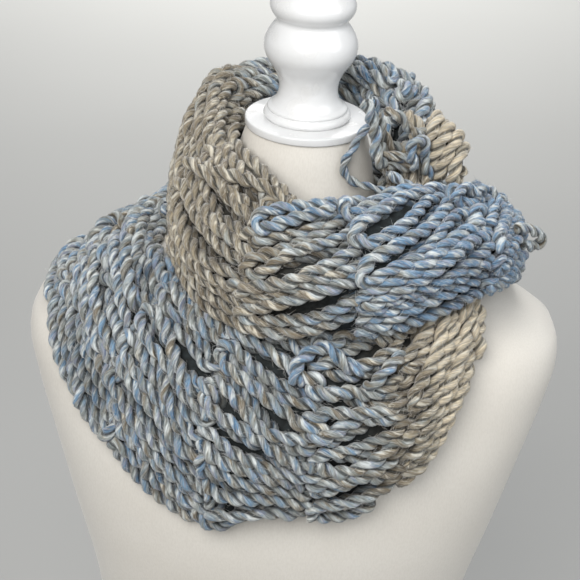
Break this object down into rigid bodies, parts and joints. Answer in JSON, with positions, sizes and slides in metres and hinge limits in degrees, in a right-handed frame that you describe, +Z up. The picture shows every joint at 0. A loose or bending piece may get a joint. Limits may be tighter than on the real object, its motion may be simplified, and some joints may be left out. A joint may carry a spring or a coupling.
{
  "type": "infinity scarf on a dress form",
  "caption": "Chunky arm-knitted loop scarf wound twice round the neck and shoulders of a limbless jersey dress form with a turned finial.",
  "frame": {"origin": "centre of the dress form's flat base, under its neck axis", "axes": "+Z up along the neck axis, -Y out of the form's front, +X to the right of someone facing the front"},
  "size_m": [0.4018, 0.3039, 0.8123],
  "materials": {
    "yarn": "matte",
    "beige_yarn": "matte",
    "jersey": "matte",
    "white_paint": "white gloss paint"
  },
  "bodies": {
    "root": {"form_body": "jersey", "form_neck_cap": "white_paint", "form_finial": "white_paint", "scarf_neck_loop": "yarn", "scarf_upper_front_wrap": "yarn", "scarf_back_wrap": "yarn", "scarf_lower_front_wrap": "yarn", "scarf_right_rise": "beige_yarn", "scarf_seam_knot": "beige_yarn"}
  },
  "joints": []
}
